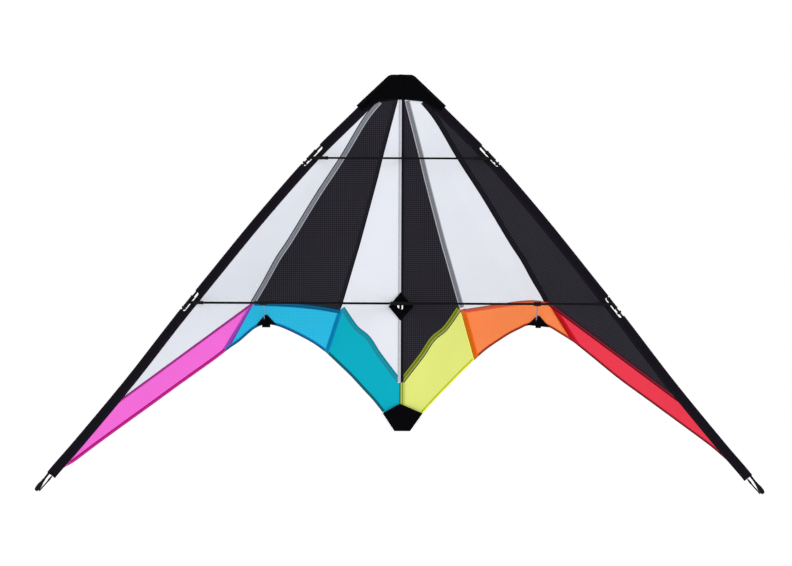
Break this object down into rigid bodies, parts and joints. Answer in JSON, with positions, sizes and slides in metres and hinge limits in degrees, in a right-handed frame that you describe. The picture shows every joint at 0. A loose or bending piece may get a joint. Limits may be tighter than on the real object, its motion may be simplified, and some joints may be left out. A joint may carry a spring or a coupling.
{
  "type": "delta kite",
  "caption": "Two-line delta stunt kite with black leading-edge sleeves, panelled ripstop wings that fold, spreader rods that swing and hinged standoffs.",
  "frame": {"origin": "middle of the centre T, on the lower spreader's line in the plane of the leading edges; the bridle's tow point", "axes": "+X to the viewer's right along the wing span, +Y back behind the sail, +Z from tail to nose"},
  "size_m": [1.6066, 0.1103, 0.9205],
  "materials": {
    "rod_black": "pultruded fibre rod, satin black",
    "moulded_black": "moulded black rubbery plastic, matt",
    "webbing_black": "woven black reinforcement cloth, matt",
    "cord_black": "braided elastic cord, black",
    "ferrule_metal": "drawn brass tube",
    "cloth_white": "white ripstop polyester, slightly translucent",
    "cloth_black": "black ripstop polyester",
    "cloth_pink": "pink ripstop polyester, darker hem",
    "cloth_blue": "sky blue ripstop polyester, darker hem",
    "cloth_teal": "teal ripstop polyester, darker hem",
    "cloth_red": "red ripstop polyester, darker hem",
    "cloth_orange": "orange ripstop polyester, darker hem",
    "cloth_lemon": "lemon ripstop polyester, neon hem"
  },
  "bodies": {
    "spine": {"spine_rod": "rod_black", "spine_nose_cap": "moulded_black", "spine_tail_cap": "moulded_black", "centre_t": "moulded_black", "centre_seam_upper": "webbing_black", "centre_seam_lower": "webbing_black", "centre_patch": "webbing_black", "tail_patch": "webbing_black", "tail_pocket": "webbing_black", "nose_webbing_middle": "webbing_black"},
    "left_wing": {"left_upper_spar": "rod_black", "left_lower_spar": "rod_black", "left_spar_ferrule": "ferrule_metal", "left_leading_edge_sleeve": "webbing_black", "left_leading_panel": "cloth_white", "left_mid_panel": "cloth_black", "left_inner_panel": "cloth_white", "left_tip_panel": "cloth_pink", "left_mid_trailing_panel": "cloth_blue", "left_inner_trailing_panel": "cloth_teal", "left_nose_webbing": "webbing_black", "left_nock": "moulded_black", "left_tip_cord": "cord_black", "left_trailing_patch": "webbing_black", "left_lower_connector": "moulded_black", "left_lower_stopper": "moulded_black", "left_upper_connector": "moulded_black", "left_upper_stopper": "moulded_black"},
    "left_lower_spreader": {"left_lower_arm": "moulded_black", "left_lower_spreader": "rod_black", "left_standoff_clip": "moulded_black"},
    "left_standoff": {"left_standoff_rod": "rod_black", "left_standoff_end": "moulded_black"},
    "right_wing": {"right_upper_spar": "rod_black", "right_lower_spar": "rod_black", "right_spar_ferrule": "ferrule_metal", "right_leading_edge_sleeve": "webbing_black", "right_leading_panel": "cloth_black", "right_mid_panel": "cloth_white", "right_inner_panel": "cloth_black", "right_tip_panel": "cloth_red", "right_mid_trailing_panel": "cloth_orange", "right_inner_trailing_panel": "cloth_lemon", "right_nose_webbing": "webbing_black", "right_nock": "moulded_black", "right_tip_cord": "cord_black", "right_trailing_patch": "webbing_black", "right_lower_connector": "moulded_black", "right_lower_stopper": "moulded_black", "right_upper_connector": "moulded_black", "right_upper_stopper": "moulded_black", "right_upper_arm": "moulded_black"},
    "right_lower_spreader": {"right_lower_arm": "moulded_black", "right_lower_spreader": "rod_black", "right_standoff_clip": "moulded_black"},
    "right_standoff": {"right_standoff_rod": "rod_black", "right_standoff_end": "moulded_black"},
    "upper_spreader": {"left_upper_arm": "moulded_black", "upper_spreader": "rod_black"}
  },
  "joints": [
    {"name": "left_wing_fold", "type": "hinge", "parent": "spine", "child": "left_wing", "pos_m": [-0.0036, 0, 0], "axis": [0, 0, -1], "range_deg": [0, 65]},
    {"name": "right_wing_fold", "type": "hinge", "parent": "spine", "child": "right_wing", "pos_m": [0.0036, 0, 0], "axis": [0, 0, 1], "range_deg": [0, 65]},
    {"name": "left_lower_spreader_swing", "type": "hinge", "parent": "left_wing", "child": "left_lower_spreader", "pos_m": [-0.4565, -0.0065, 0], "axis": [0, -1, 0], "range_deg": [0, 45]},
    {"name": "right_lower_spreader_swing", "type": "hinge", "parent": "right_wing", "child": "right_lower_spreader", "pos_m": [0.4565, -0.0065, 0], "axis": [0, 1, 0], "range_deg": [0, 45]},
    {"name": "upper_spreader_swing", "type": "hinge", "parent": "left_wing", "child": "upper_spreader", "pos_m": [-0.189, -0.0128, 0.319], "axis": [0, 1, 0], "range_deg": [0, 130]},
    {"name": "left_standoff_swing", "type": "hinge", "parent": "left_wing", "child": "left_standoff", "pos_m": [-0.301, 0.0852, -0.0385], "axis": [1, 0, 0], "range_deg": [-35, 113]},
    {"name": "right_standoff_swing", "type": "hinge", "parent": "right_wing", "child": "right_standoff", "pos_m": [0.301, 0.0852, -0.0385], "axis": [1, 0, 0], "range_deg": [-35, 113]}
  ]
}
